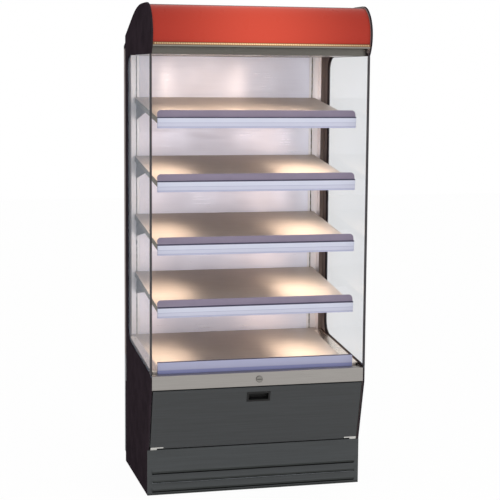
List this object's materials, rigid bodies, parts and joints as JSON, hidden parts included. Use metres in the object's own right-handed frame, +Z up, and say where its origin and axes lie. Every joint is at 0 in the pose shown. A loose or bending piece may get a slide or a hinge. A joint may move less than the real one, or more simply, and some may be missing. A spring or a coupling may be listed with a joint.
{
  "type": "heated display case",
  "caption": "Open-fronted heated self-serve display case with tilted lit shelves, glazed sides, curved sign hood and a drop-down service flap.",
  "frame": {"origin": "on the floor, under the middle of the overall box", "axes": "+X to the right as a customer sees it, +Y to the rear, +Z up"},
  "size_m": [0.91, 0.7195, 2.01],
  "materials": {
    "end_panel": "fine satin texture",
    "glazing": "clear float glass",
    "edge_trim": "satin",
    "upright_steel": "satin powder coat",
    "liner_steel": "brushed along its length",
    "dark_post": "satin powder coat",
    "rear_sheet": "satin powder coat",
    "insulation": "foil-faced mineral wool",
    "sign_sheet": "gloss, lit from behind",
    "light_strip": "frosted, lit",
    "hood_alu": "satin anodised",
    "cover_sheet": "satin powder coat",
    "lamp": "spun",
    "tube_glass": "frosted",
    "shelf_steel": "brushed across the width",
    "bracket_steel": "satin powder coat",
    "label_rail": "satin extrusion",
    "smoked_lip": "smoked",
    "deck_rail": "satin extrusion",
    "fascia_steel": "brushed along its length",
    "latch_metal": "polished",
    "flap_paint": "satin powder coat",
    "kick_paint": "satin powder coat",
    "black_plastic": "fine texture",
    "hinge_steel": "bright zinc plate",
    "galvanised": "galvanised sheet",
    "foot_rubber": "moulded",
    "motor_case": "painted casting",
    "screw_steel": "zinc plate"
  },
  "bodies": {
    "cabinet": {"side_panel_left": "end_panel", "side_panel_right": "end_panel", "side_glass": "glazing", "glass_edge_trims": "edge_trim", "uprights": "upright_steel", "back_wall": "liner_steel", "rear_posts": "dark_post", "rear_panel": "rear_sheet", "insulation_board": "insulation", "hood_sign": "sign_sheet", "sign_light_strip": "light_strip", "hood_sill": "hood_alu", "hood_front_rail": "hood_alu", "canopy_ceiling": "liner_steel", "canopy_lamps": "lamp", "hood_cover": "cover_sheet", "sign_tube": "tube_glass", "deck_pan": "shelf_steel", "deck_rail": "deck_rail", "fascia": "fascia_steel", "kick_plate": "kick_paint", "hinge_brackets": "hinge_steel", "chassis_frame": "galvanised", "levelling_feet": "foot_rubber", "base_floor": "galvanised", "base_rear_cover": "rear_sheet", "mains_inlet": "black_plastic", "control_panel": "galvanised", "electrical_box": "galvanised", "blower_housing": "galvanised", "fan_motor": "motor_case", "heater_elements": "hinge_steel", "panel_screws": "screw_steel"},
    "service_flap": {"service_flap": "flap_paint", "flap_handle_cup": "black_plastic", "flap_keeper": "hinge_steel"},
    "latch": {"latch_knob": "latch_metal"},
    "dial": {"temperature_dial": "black_plastic"},
    "rocker": {"rocker_switch": "black_plastic"},
    "blower": {"blower_wheel": "hinge_steel"},
    "shelf_1": {"shelf_1_pan": "shelf_steel", "shelf_1_lip": "smoked_lip", "shelf_1_rail": "label_rail", "shelf_1_brackets": "bracket_steel", "shelf_1_lamps": "lamp"},
    "shelf_2": {"shelf_2_pan": "shelf_steel", "shelf_2_lip": "smoked_lip", "shelf_2_rail": "label_rail", "shelf_2_brackets": "bracket_steel", "shelf_2_lamps": "lamp"},
    "shelf_3": {"shelf_3_pan": "shelf_steel", "shelf_3_lip": "smoked_lip", "shelf_3_rail": "label_rail", "shelf_3_brackets": "bracket_steel", "shelf_3_lamps": "lamp"},
    "shelf_4": {"shelf_4_pan": "shelf_steel", "shelf_4_lip": "smoked_lip", "shelf_4_rail": "label_rail", "shelf_4_brackets": "bracket_steel", "shelf_4_lamps": "lamp"}
  },
  "joints": [
    {"name": "flap_hinge", "type": "hinge", "parent": "cabinet", "child": "service_flap", "pos_m": [0, -0.26233, 0.2015], "axis": [1, 0, 0], "range_deg": [0, 90]},
    {"name": "latch_turn", "type": "hinge", "parent": "cabinet", "child": "latch", "pos_m": [0, -0.33, 0.487], "axis": [0, 1, 0], "range_deg": [0, 90]},
    {"name": "dial_turn", "type": "hinge", "parent": "cabinet", "child": "dial", "pos_m": [0.3, -0.205, 0.35], "axis": [0, 1, 0], "range_deg": [0, 270]},
    {"name": "rocker_tilt", "type": "hinge", "parent": "cabinet", "child": "rocker", "pos_m": [0.19, -0.201, 0.35], "axis": [-1, 0, 0], "range_deg": [0, 18]},
    {"name": "blower_spin", "type": "hinge", "parent": "cabinet", "child": "blower", "pos_m": [0, 0.14, 0.205], "axis": [1, 0, 0], "continuous": true},
    {"name": "shelf_1_tilt", "type": "hinge", "parent": "cabinet", "child": "shelf_1", "pos_m": [0, 0.307, 1.598], "axis": [-1, 0, 0], "range_deg": [0, 7.5]},
    {"name": "shelf_2_tilt", "type": "hinge", "parent": "cabinet", "child": "shelf_2", "pos_m": [0, 0.307, 1.342], "axis": [-1, 0, 0], "range_deg": [0, 7.5]},
    {"name": "shelf_3_tilt", "type": "hinge", "parent": "cabinet", "child": "shelf_3", "pos_m": [0, 0.307, 1.086], "axis": [-1, 0, 0], "range_deg": [0, 7.5]},
    {"name": "shelf_4_tilt", "type": "hinge", "parent": "cabinet", "child": "shelf_4", "pos_m": [0, 0.307, 0.83], "axis": [-1, 0, 0], "range_deg": [0, 7.5]}
  ]
}
